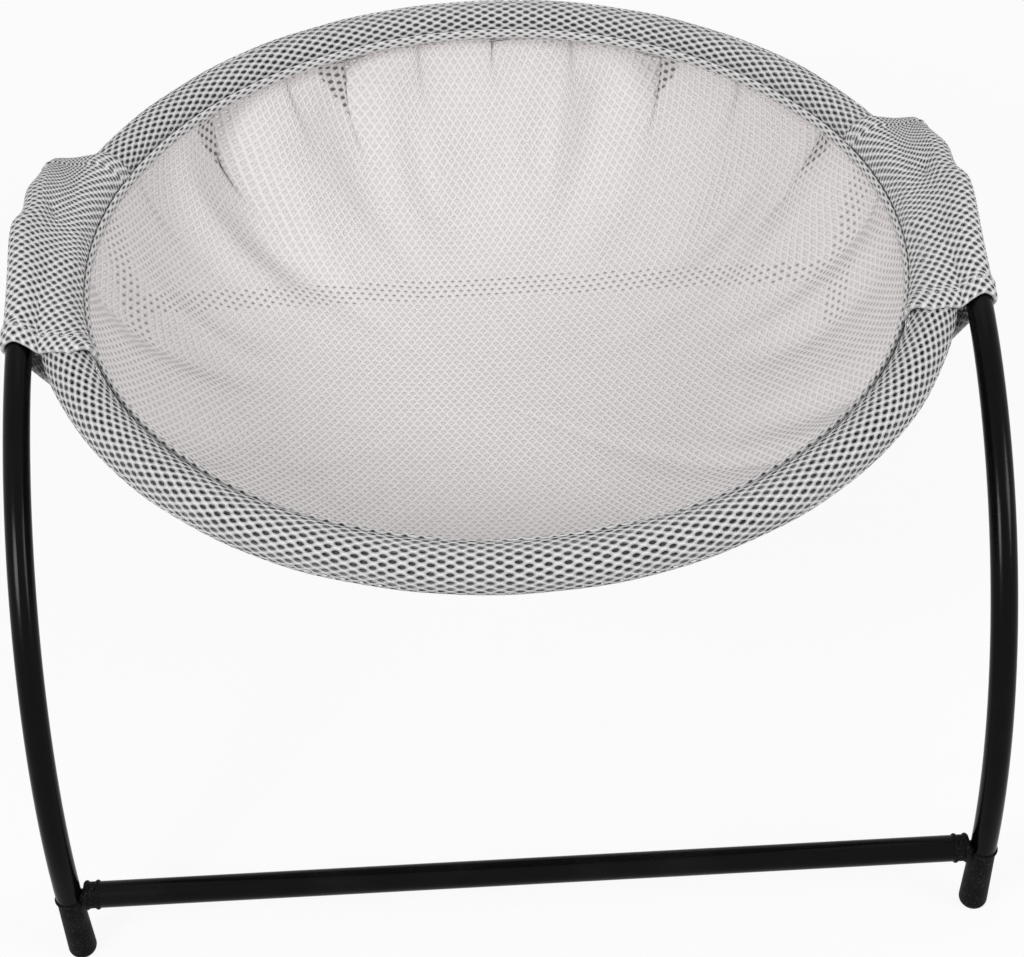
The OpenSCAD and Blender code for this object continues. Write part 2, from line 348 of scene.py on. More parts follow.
@dataclass(frozen=True)
class SpacerKnit:
    """Knitted spacer mesh: staggered oval openings between rounded yarn bundles.

    Openings sit on a lattice of pitch_u by pitch_v with one more in the middle of each cell. The pattern
    follows the piece's own flat coordinates, in metres, and wanders a little. What shows in an opening is the
    pit's colour, let through by the share clear: the spacer's inner threads, with painted shade inside the
    opening. The yarn is painted in shade towards the openings and in light on its crests, with random tone
    of fibres and patches; the share ribs gives the diagonal ribs between the openings their part of that
    painted shade and of the relief. Along the sealed places, such as folded edges, the openings are closed.
    In a tucked piece the attribute doubled is over a half where layers lie on each other: there the cloth
    is painted in a little shade and its openings, which are closed, in much more; the attribute under is
    over a half on the layers below, which are painted in deep shade. The glints are painted highlights. The
    noises are those of the drift, the sway, the fibres, the patches and the glints: lumps per metre and
    octaves.
    """

    name: str
    pitch_u: float
    pitch_v: float
    hole_u: float
    hole_v: float
    clear: float = 1.0
    yarn: Colour = (0.64, 0.633, 0.634)
    shade: Colour = (0.37, 0.365, 0.366)
    pit: Colour = (0.035, 0.035, 0.036)
    glint_colour: Colour = (0.95, 0.95, 0.95)
    painted_tuck_shade: Colour = (0.03, 0.03, 0.03)
    corner: float = 1.7
    soft: float = 0.25
    ribs: float = 0.0
    wander: float = 0.07
    noises: tuple[Pair, ...] = ((90.0, 2.0), (170.0, 1.0), (1900.0, 2.0), (35.0, 3.0), (1300.0, 1.0))
    crest_share: float = 0.55
    fibre_share: float = 0.25
    patch_share: float = 0.2
    sealed: tuple[float, ...] = ()
    seal_width: float = 0.0022
    relief: float = 0.8
    relief_height: float = 0.0007
    glint: float = 0.3
    rough: float = 0.72
    shine: float = 0.15
    sheen: float = 0.1
    tucked: bool = False

    def build(self) -> bpy.types.Material:
        """Makes the material.

        Returns:
            The material.
        """
        paint = Paint(self.name)
        flat = paint.node("UVMap", {"uv_map": KNIT_UV}, {})
        along, across = (paint.node("SeparateXYZ", {}, {0: flat}, axis) for axis in (0, 1))
        drift, sway, fibre, patch, sparks = (paint.noise(flat, *noise) for noise in self.noises)
        p = along / self.pitch_u + (drift - 0.5) * (2 * self.wander)
        q = across / self.pitch_v + (sway - 0.5) * (2 * self.wander)
        reach = self._oval(p, q).least(self._oval(p + 0.5, q + 0.5))
        hole = paint.span(reach, 1.0 - self.soft, 1.0 + self.soft, 1.0, 0.0)
        for edge in self.sealed:
            hole = hole * paint.span(abs(across - edge), 0.6 * self.seal_width, self.seal_width)
        crest = paint.span(reach, 0.9, 3.2)
        if self.ribs:
            net = 1.0 - 2.0 * self._rib(p - q).least(self._rib(p + q))
            crest = crest * (1.0 - self.ribs) + paint.span(net, 0.3, 1.0) * self.ribs
        # Painted shade towards the openings and painted light on the yarn's crests, with random tone of
        # fibres and patches.
        light = crest * self.crest_share + fibre * self.fibre_share + patch * self.patch_share
        colour = paint.mixed(paint.span(light, 0.1, 0.75), rgba(self.shade), rgba(self.yarn))
        # Painted highlights: white glints on the yarn's crests.
        spark = paint.span(sparks, 0.6, 0.74) * crest * self.glint
        colour = paint.mixed(spark, colour, rgba(self.glint_colour))
        # Openings take the pit's colour: the spacer's inner threads, with painted shade inside them.
        colour = paint.mixed(hole * hole, colour, rgba(self.pit))
        gap = hole * self.clear
        if self.tucked:
            # Painted shade on the tucks: doubled layers a little, their openings and the layers below much
            # more.
            layer = paint.span(self._attribute(paint, DOUBLED), 0.38, 0.62)
            under = paint.span(self._attribute(paint, UNDER), 0.4, 0.6)
            opening_shade = paint.span(reach, 1.2, 2.6, 1.0, 0.0)
            tuck_shade = (layer * (opening_shade * 0.7 + 0.14)).most(layer * under * 0.85)
            colour = paint.mixed(tuck_shade, colour, rgba(self.painted_tuck_shade))
            gap = gap * (1.0 - layer)
        paint.feed("Base Color", colour)
        if self.clear:
            paint.feed("Alpha", 1.0 - gap)
        paint.plain(Roughness=self.rough, Specular_IOR_Level=self.shine)
        paint.plain(Sheen_Weight=self.sheen, Sheen_Roughness=0.5)
        paint.bump(crest * (1.0 - hole) + fibre * 0.12, self.relief_height, self.relief)
        return paint.material

    @staticmethod
    def _attribute(paint: Paint, name: str) -> Signal:
        """A value that the piece's mesh holds at each of its points."""
        return paint.node("Attribute", {"attribute_name": name}, {}, "Fac")

    @staticmethod
    def _rib(place: Signal) -> Signal:
        """Distance to the nearest diagonal rib, which runs at a half between the openings' rows."""
        return abs(place.fraction() - 0.5)

    def _oval(self, p: Signal, q: Signal) -> Signal:
        """The rounded oval of an opening: both distances from its middle to the power corner, added up.

        Args:
            p: the place along, in pitches.
            q: the place across, in pitches.

        Returns:
            The size of the oval that passes through the place, where 1 is the opening's edge.
        """
        across_u = abs((p + 0.5).fraction() - 0.5) * (2 * self.pitch_u / self.hole_u)
        across_v = abs((q + 0.5).fraction() - 0.5) * (2 * self.pitch_v / self.hole_v)
        return across_u**self.corner + across_v**self.corner


def smooth(x: Array) -> Array:
    """The smooth step of x between 0 and 1: three x squared less two x cubed."""
    c = np.clip(x, 0.0, 1.0)
    return c * c * (3 - 2 * c)


def bell(x: Array) -> Array:
    """A bell of x: e to the power of minus x squared."""
    return np.exp(-(x**2))


def turns(count: int) -> Array:
    """That many angles, evenly spaced round one turn from zero."""
    return np.arange(count) * math.tau / count


def run_along(line: Array) -> Array:
    """Length along each line of points: zero, and then the running sum of the steps between them."""
    steps = np.linalg.norm(np.diff(line, axis=-2), axis=-1)
    return np.concatenate([np.zeros_like(steps[..., :1]), np.cumsum(steps, -1)], -1)


def unit(vectors: Array) -> Array:
    """Vectors of the same directions, one long."""
    return vectors / np.linalg.norm(vectors, axis=-1, keepdims=True)


def polar(reach: Array, turn: Array, height: Array) -> Array:
    """Points at a reach from the upright axis, a turn about it and a height."""
    return np.stack(np.broadcast_arrays(reach * np.cos(turn), reach * np.sin(turn), height), -1)


def flat_grid(along: Array, across: Array) -> Array:
    """Flat coordinates of a grid, from its places along a piece and across it."""
    return np.stack(np.meshgrid(along, across, indexing="ij"), -1)


def link_mesh(name: str, points: Array, faces: list[list[int]]) -> bpy.types.Object:
    """Makes a smooth-shaded mesh object and puts it in the scene.

    Args:
        name: the piece's name.
        points: its points, count by three.
        faces: the points' numbers round each face.

    Returns:
        The object.
    """
    mesh = bpy.data.meshes.new(name)
    mesh.from_pydata(points, [], faces)
    mesh.polygons.foreach_set("use_smooth", np.ones(len(faces), bool))
    mesh.update()
    piece = bpy.data.objects.new(name, mesh)
    bpy.context.scene.collection.objects.link(piece)
    return piece


def surface(
    name: str,
    points: Array,
    uv: Array,
    wrap_u: bool = False,
    wrap_v: bool = False,
    flip: bool = False,
    pole: Union[Array, None] = None,
    values: Union[dict[str, Array], None] = None,
) -> bpy.types.Object:
    """Makes a mesh object from a grid of points.

    Args:
        name: the piece's name.
        points: the grid, rows by columns by three.
        uv: flat coordinates in metres, with one row or column more on each wrapped side.
        wrap_u: whether the last row joins the first.
        wrap_v: whether the last column joins the first.
        flip: whether the grid's faces turn the other way, which a piece with a pole doesn't need.
        pole: a point that closes the first row, with flat coordinates at zero.
        values: named attributes, one value to each grid point, which are zero at the pole.

    Returns:
        The object, in the scene.
    """
    rows, cols = points.shape[:2]
    i = np.arange(rows if wrap_u else rows - 1)[:, None]
    j = np.arange(cols if wrap_v else cols - 1)[None, :]
    i_next, j_next = (i + 1) % rows, (j + 1) % cols
    corners = [i * cols + j, i_next * cols + j, i_next * cols + j_next, i * cols + j_next]
    maps = [uv[i, j], uv[i + 1, j], uv[i + 1, j + 1], uv[i, j + 1]]
    if flip:
        corners, maps = corners[::-1], maps[::-1]
    faces = np.stack(corners, -1).reshape(-1, 4).tolist()
    flat = np.stack(maps, -2).reshape(-1, 2)
    co = points.reshape(-1, 3)
    if pole is not None:
        first = np.arange(cols)
        faces += np.stack([np.full(cols, len(co)), first, (first + 1) % cols], -1).tolist()
        fan_uv = np.stack([np.zeros((cols, 2)), uv[0, :cols], uv[0, 1 : cols + 1]], -2)
        flat = np.concatenate([flat, fan_uv.reshape(-1, 2)])
        co = np.concatenate([co, pole[None, :]])
    piece = link_mesh(name, co, faces)
    mesh = piece.data
    mesh.uv_layers.new(name=KNIT_UV).data.foreach_set("uv", flat.astype(np.float32).ravel())
    for key, value in (values or {}).items():
        padded = np.zeros(len(co), np.float32)
        padded[: value.size] = value.ravel()
        mesh.attributes.new(key, "FLOAT", "POINT").data.foreach_set("value", padded)
    mesh.update()
    return piece


def thicken(piece: bpy.types.Object, thickness: float, offset: float) -> None:
    """Gives a sheet its thickness.

    Args:
        piece: the sheet.
        thickness: how thick it gets.
        offset: 1 to grow it along the normals, -1 against them.
    """
    modifier = piece.modifiers.new("cloth", "SOLIDIFY")
    modifier.thickness = thickness
    modifier.offset = offset
    modifier.use_even_offset = False


def dress(piece: bpy.types.Object, material: bpy.types.Material, body: str) -> None:
    """Gives a new piece its finish and its place in the record.

    Args:
        piece: the piece.
        material: its finish.
        body: the body that it rides on.
    """
    piece.data.materials.clear()
    piece.data.materials.append(material)
    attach(piece, body)
    LOG.info("%s: %d faces on %s", piece.name, len(piece.data.polygons), body)


def stitches(
    name: str, centres: Array, along: Array, out: Array, length: float, radius: float
) -> bpy.types.Object:
    """Makes a row of thread stitches as one mesh.

    Each stitch is a rounded bar: at angle a from tip to tip and angle b round it, a point is the centre plus
    the length's half times cos a along it, plus the radius times the root of sin a, turned by b.

    Args:
        name: the piece's name.
        centres: the stitches' middles, count by three.
        along: unit vectors along them.
        out: unit vectors out of the cloth.
        length: a stitch's length.
        radius: its radius.

    Returns:
        The object, in the scene.
    """
    rings, sides, tip = 5, 6, 0.16
    a = np.linspace(tip, 1 - tip, rings)[None, :, None, None] * math.pi
    b = turns(sides)[None, None, :, None]
    axis, up, right = (v[:, None, None, :] for v in (along, out, np.cross(along, out)))
    points = centres[:, None, None, :] + axis * (length / 2 * np.cos(a))
    points = points + (up * np.cos(b) + right * np.sin(b)) * (radius * np.sqrt(np.sin(a)))
    base = (np.arange(len(centres)) * (rings * sides))[:, None, None]
    i, j = np.arange(rings - 1)[None, :, None], np.arange(sides)[None, None, :]
    j_next = (j + 1) % sides
    near, far = base + i * sides, base + (i + 1) * sides
    quads = np.stack([near + j, far + j, far + j_next, near + j_next], -1)
    first, ring = base[:, :, 0], np.arange(sides)[None, :]
    ends = np.concatenate([first + ring, first + (rings - 1) * sides + ring[:, ::-1]])
    return link_mesh(name, points.reshape(-1, 3), quads.reshape(-1, 4).tolist() + ends.tolist())


@dataclass
class TubeFrame:
    """The arches, bars, feet and bushes, and the tubes and plugs in the ring, all as packed."""

    tube: CoatedTube = CoatedTube()
    moulding: MouldedPlastic = MouldedPlastic()
    ring_steel: DrawnSteel = DrawnSteel()

    def dress(self) -> None:
        """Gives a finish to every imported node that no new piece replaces."""
        corners = ("front_left", "front_right", "rear_left", "rear_right")
        mouldings = [f"{corner}_{kind}" for kind in ("foot", "bush") for corner in corners]
        finishes = (
            (self.tube, ["left_arch", "right_arch", "front_bar", "rear_bar"]),
            (self.moulding, [*mouldings, "ring_plug_left", "ring_plug_right"]),
            (self.ring_steel, ["ring_tube_front", "ring_tube_rear"]),
        )
        for finish, names in finishes:
            material = finish.build()
            for name in names:
                self.finish_node(name, material)

    @staticmethod
    def finish_node(name: str, material: bpy.types.Material) -> None:
        """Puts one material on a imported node.

        Args:
            name: the node's name.
            material: its finish.
        """
        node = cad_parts[name]
        node.data.materials.clear()
        node.data.materials.append(material)
        LOG.info("%s: packed solid in %s", name, material.name)


@dataclass
class PaddedRing:
    """The padded ring: two halves of foam, the mesh cover and the sewn bead along its inner edge.

    Openings are given as length and width, and a stitch as length and radius.
    """

    ring_r: float = 0.204
    pad_r: float = 0.011
    ring_z: float = 0.22695
    cover_t: float = 0.0011
    cover_grid: tuple[int, int] = (768, 44)
    holes_along: int = 168
    holes_across: int = 19
    hole: Pair = (3.3 * MM, 1.65 * MM)
    foam_r: float = 0.0096
    core_r: float = 0.0062
    foam_grid: tuple[int, int] = (160, 32)
    half_gap: float = 0.0006
    bead_r: float = 0.1913
    bead_width: float = 0.0013
    bead_height: float = 0.0026
    bead_grid: tuple[int, int] = (2124, 20)
    bead_square: float = 0.6
    bead_holes: int = 177
    bead_hole: Pair = (2.4 * MM, 1.0 * MM)
    bead_scallop: float = 0.03
    bead_rise: float = 0.0011
    bead_growth: float = 0.35
    bead_lean: float = 0.3
    bead_tooth: float = 0.0004
    stitch_count: int = 360
    stitch_drop: float = 0.7
    stitch: Pair = (2.3 * MM, 0.22 * MM)

    def torus(self, turn: Array, around: Array, radius: Array) -> Array:
        """Points on a ring: a section of the given radius, carried round the ring's middle line."""
        return polar(self.ring_r + radius * np.cos(around), turn, self.ring_z + radius * np.sin(around))

    def cover(self) -> None:
        """Makes the mesh cover.

        Its section's radius is the pad's, with a slight unevenness: three sines of the turn and of the angle
        round the section, of about a tenth of a millimetre each.
        """
        rows, cols = self.cover_grid
        turn, around = turns(rows)[:, None], turns(cols)[None, :]
        uneven = 0.12 * np.sin(9 * turn + 1.3) + 0.1 * np.sin(17 * turn + 2 * around)
        uneven = uneven + 0.08 * np.sin(31 * turn - around)
        points = self.torus(turn, around, self.pad_r - self.cover_t + uneven * MM)
        length, girth = math.tau * self.ring_r, math.tau * self.pad_r
        uv = flat_grid(np.arange(rows + 1) * (length / rows), np.arange(cols + 1) * (girth / cols))
        piece = surface("ring_mesh_cover", points, uv, True, True)
        thicken(piece, self.cover_t, 1.0)
        pitch = length / self.holes_along, girth / self.holes_across
        knit = SpacerKnit("cover_knit", *pitch, *self.hole, corner=1.9)
        dress(piece, knit.build(), "bed")
        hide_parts("ring_cover")

    def foam(self) -> None:
        """Makes the foam halves: one section, carried out along the outside and back along the bore."""
        material = PadFoam().build()
        rows, cols = self.foam_grid
        around = turns(cols)[None, :]
        radius = np.repeat([self.foam_r, self.core_r], rows)[:, None]
        for name, start in (("front", math.pi), ("rear", 0.0)):
            out = start + self.half_gap + np.linspace(0, 1, rows) * (math.pi - 2 * self.half_gap)
            points = self.torus(np.concatenate([out, out[::-1]])[:, None], around, radius)
            uv = np.zeros((2 * rows + 1, cols + 1, 2))
            piece = surface(f"foam_half_{name}", points, uv, True, True)
            dress(piece, material, "bed")
            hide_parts(f"foam_{name}")

    def bead(self) -> None:
        """Makes the sewn bead: a flat strip of doubled knit on edge, with staggered openings on its face.

        Its section at angle g reaches in by the half width times the cosine, raised to the power bead_square
        with the cosine's sign kept, and up by the half height times the sine. Towards the front it stands
        taller and higher, by a smooth step of the turn's sine that two quicker sines make uneven, and its top
        edge puckers between the stitches by a cosine.
        """
        rows, cols = self.bead_grid
        turn = turns(rows)[:, None]
        g = np.arange(cols + 1) * math.tau / cols
        x = self.bead_width * np.sign(np.cos(g)) * np.abs(np.cos(g)) ** self.bead_square
        y = self.bead_height * np.sin(g)
        girth = run_along(np.stack([x, y], -1))
        front = smooth((-np.sin(turn) - 0.1) / 0.5)
        front = front * (0.6 + 0.25 * np.sin(13 * turn + 1.0) + 0.15 * np.sin(31 * turn))
        top = np.maximum(np.sin(g), 0.0)[None, :-1]
        tooth = front * self.bead_tooth * top * np.cos(2 * self.bead_holes * turn)
        scallop = 1 + self.bead_scallop * np.cos(self.bead_holes * turn)
        reach = self.bead_r + scallop * x[None, :-1] + self.bead_lean * front * self.bead_rise * top
        height = self.ring_z + scallop * y[None, :-1] * (1 + self.bead_growth * front)
        height = height + self.bead_rise * front + tooth
        length = math.tau * self.bead_r
        pitch = length / self.bead_holes, float(girth[-1]) / 4
        uv = flat_grid(np.arange(rows + 1) * (length / rows), girth + pitch[1] / 4)
        piece = surface("rim_bead", polar(reach, turn, height), uv, True, True)
        # The bead's openings are closed and painted nearly black: painted shade inside the doubled strip.
        knit = SpacerKnit("bead_knit", *pitch, *self.bead_hole, clear=0.0, pit=(0.05, 0.05, 0.051))
        dress(piece, knit.build(), "bed")
        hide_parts("rim_seam")

    def bead_stitches(self, thread: bpy.types.Material) -> None:
        """Makes the stitches along the foot of the bead, where the bowl is sewn to it.

        Args:
            thread: the thread's material.
        """
        turn = turns(self.stitch_count)
        height = self.ring_z - self.stitch_drop * self.bead_height
        centres = polar(self.bead_r - self.bead_width, turn, height)
        along, out = polar(1.0, turn + math.pi / 2, 0.0), polar(-1.0, turn, 0.0)
        piece = stitches("rim_stitches", centres, along, out, *self.stitch)
        dress(piece, thread, "bed")


@dataclass
class Bowl:
    """The hanging bowl: a round cut of mesh that sags like a pan, taken in at the rim by folded pleats."""

    ring: PaddedRing
    rim_r: float = 0.19108
    rim_drop: float = 0.002
    depth: float = 0.092
    sag_power: float = 3.0
    sag_round: float = 0.7
    cloth_t: float = 0.0003
    rows: int = 64
    cols: int = 720
    fine_rows: int = 4001
    fine_cols: int = 7201
    crowding: float = 1.4
    pleat_crowding: float = 3.0
    pitch: Pair = (0.0041, 0.0064)
    hole: Pair = (1.8 * MM, 1.15 * MM)
    fold_back: float = 2.4
    layer_rise: float = 6.0 * MM
    hollow_depth: float = 10.5 * MM
    hollow_reach: float = 2.1
    hollow_width: float = 2.0
    settle_from: float = 0.97
    rim_share: float = 0.3
    lap_reach: float = 1.8
    lap_soft: float = 0.7
    taut_share: float = 0.35

    @staticmethod
    def pleat_table() -> Array:
        """Pleats as rows of angle and width in degrees, strength, and reach below the rim in millimetres.

        A negative width folds the cloth over to the other side.
        """
        return np.array(
            [
                [13.0, 2.4, 0.4, 34],
                [30.0, -2.4, 1.0, 40],
                [47.0, 2.6, 0.35, 30],
                [60.5, -2.2, 1.0, 32],
                [75.5, 3.0, 0.35, 30],
                [88.0, 2.0, 0.6, 18],
                [99.5, 3.0, 0.35, 34],
                [112.0, 2.4, 1.05, 40],
                [122.0, 3.0, 0.35, 34],
                [136.0, 2.5, 1.05, 42],
                [154.0, 2.8, 0.4, 34],
                [176.5, 2.6, 0.5, 30],
                [207.5, 2.6, 0.9, 44],
                [224.0, 3.0, 0.4, 40],
                [241.0, 2.4, 0.75, 46],
                [259.0, 2.8, 0.35, 38],
                [275.5, -2.4, 0.6, 42],
                [302.5, -2.8, 0.4, 38],
                [324.5, -2.6, 1.0, 64],
                [337.0, -2.6, 0.5, 40],
            ]
        )

    @staticmethod
    def wave_table() -> Array:
        """Soft waves of the wall as rows of height in millimetres, count round the bowl, phase and drift."""
        return np.array([[3.2, 18, 0.6, 2], [3.2, 11, 2.1, -3], [2.4, 7, 0.4, 2], [1.3, 29, 0.3, 0]])

    def columns(self) -> Array:
        """Crowds the columns at the pleats: by even shares of the sum of one and a bell at each pleat.

        Returns:
            The columns' angles.
        """
        fine = np.linspace(0, math.tau, self.fine_cols)
        pleat, width = self.pleat_table().T[:2, :, None]
        gap = (fine - np.radians(pleat) + math.pi) % math.tau - math.pi
        density = 1 + self.pleat_crowding * bell(gap / np.radians(width)).sum(0)
        share = np.concatenate([[0.0], np.cumsum(density[1:])])
        return np.interp(np.arange(self.cols) * share[-1] / self.cols, share, fine)

    def profile(self) -> tuple[Array, Array, Array]:
        """The plain sag from middle to rim.

        With s the share of the rim's radius, the cloth hangs below the rim by the depth times (1 - s to the
        sag power) to the sag round, and its stations lie closer together towards the rim.

        Returns:
            Radius, height and length along the cloth at each station.
        """
        s = 1 - np.linspace(1, 0, self.fine_rows) ** 2
        radius = s * self.rim_r
        sag = (1 - s**self.sag_power) ** self.sag_round
        height = self.ring.ring_z - (self.rim_drop + (self.depth - self.rim_drop) * sag)
        run = run_along(np.stack([radius, height], -1))
        place = run[-1] * (1 - np.linspace(1, 0, self.rows + 1)[1:] ** self.crowding)
        return np.interp(place, run, radius), np.interp(place, run, height), place

    def build(self) -> None:
        """Makes the bowl.

        At each pleat the turn goes back on itself: with x the angle from the pleat over its width, the turn
        loses x over (1 + x squared) to the power 1.5, so the cloth lies in three layers, and x over (1 + x
        squared) parts the layers along the normal. Below a pleat the cloth that it takes in runs out in a
        soft hollow, and between the hollows soft waves fade into the floor. At the rim all of it settles
        towards the seam.
        """
        radius, height, run = self.profile()
        share = run / run[-1]
        flat_turn = self.columns()[None, :]
        below = (run[-1] - run)[None, :, None]
        angle, width, strength, reach = (c[:, None, None] for c in self.pleat_table().T)
        gap = (flat_turn[None] - np.radians(angle) + math.pi) % math.tau - math.pi
        x = gap / np.radians(width)
        fold = strength * bell(below / (reach * MM))
        hollow = strength * bell(below / (self.hollow_reach * reach * MM)) * bell(x / self.hollow_width)
        hollow = hollow * self.rearward(np.radians(angle))
        turn = flat_turn - (self.fold_back * np.radians(width) * fold * x / (1 + x * x) ** 1.5).sum(0)
        lift = (self.hollow_depth * hollow - self.layer_rise * fold * x / (1 + x * x)).sum(0)
        lift = lift + self.waves(flat_turn, share[:, None])
        settle = 1 - smooth((share - self.settle_from) / (1 - self.settle_from))[:, None]
        lift = lift * (self.rim_share + (1 - self.rim_share) * settle)
        r = radius[:, None] + np.gradient(height, run)[:, None] * lift
        z = height[:, None] - np.gradient(radius, run)[:, None] * lift
        uv = polar(run[:, None], np.append(flat_turn, math.tau), 0.0)[..., :2]
        pole = np.array([0.0, 0.0, self.ring.ring_z - self.depth])
        layers = self.layers(fold, x)
        piece = surface("mesh_bowl", polar(r, turn, z), uv, wrap_v=True, pole=pole, values=layers)
        thicken(piece, self.cloth_t, -1.0)
        knit = SpacerKnit(
            "bowl_knit",
            *self.pitch,
            *self.hole,
            clear=0.68,
            yarn=(0.738, 0.707, 0.702),
            shade=(0.62, 0.594, 0.59),
            pit=(0.59, 0.566, 0.561),
            corner=1.6,
            soft=0.6,
            ribs=0.9,
            wander=0.06,
            glint=0.45,
            tucked=True,
        )
        dress(piece, knit.build(), "bed")
        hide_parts("bowl")

    def layers(self, fold: Array, x: Array) -> dict[str, Array]:
        """Where the pleats double the cloth, and which of it lies below.

        The lap of a pleat reaches as far as its turn goes back on itself, further to one side. The cloth is
        under where it is on the far side of the pleat that doubles it most.

        Args:
            fold: strength of each pleat at each row.
            x: angle from each pleat over its width, at each column.

        Returns:
            The two attributes, from 0 to 1 at each grid point.
        """
        lap = self.lap_reach * (self.fold_back * fold - 1) / (self.fold_back - 1)
        away = np.where(x > 0, x, -self.lap_reach * x)
        lapped = np.clip(0.5 + (lap - away) / self.lap_soft, 0, 1)
        owner = np.take_along_axis(x + 0 * lapped, lapped.argmax(0)[None], 0)[0]
        return {DOUBLED: lapped.max(0), UNDER: np.clip(0.5 + (0.5 - owner) / self.lap_soft, 0, 1)}

    def waves(self, turn: Array, s: Array) -> Array:
        """Soft waves of the wall, and a little unevenness of the floor, all sums of sines.

        Args:
            turn: angles round the bowl, one row.
            s: shares of the way from middle to rim, one column.

        Returns:
            How far the cloth stands out at each point.
        """
        wall = smooth((s - 0.45) / 0.3) * (1 - smooth((s - 0.86) / 0.14))
        rise, count, phase, drift = (c[:, None, None] for c in self.wave_table().T)
        soft = (rise * np.sin(count * turn + phase + drift * s)).sum(0) * self.rearward(turn)
        floor = 0.9 * np.sin(3 * turn + 1.0) * s + 0.6 * np.sin(5 * turn + 9 * s)
        return (soft * wall + floor * smooth(s / 0.4) * (1 - s)) * MM

    def rearward(self, turn: Array) -> Array:
        """How much the cloth folds: least at the front, where it lies taut, by a smooth step of the sine."""
        return self.taut_share + (1 - self.taut_share) * smooth((np.sin(turn) + 0.5) / 0.8)


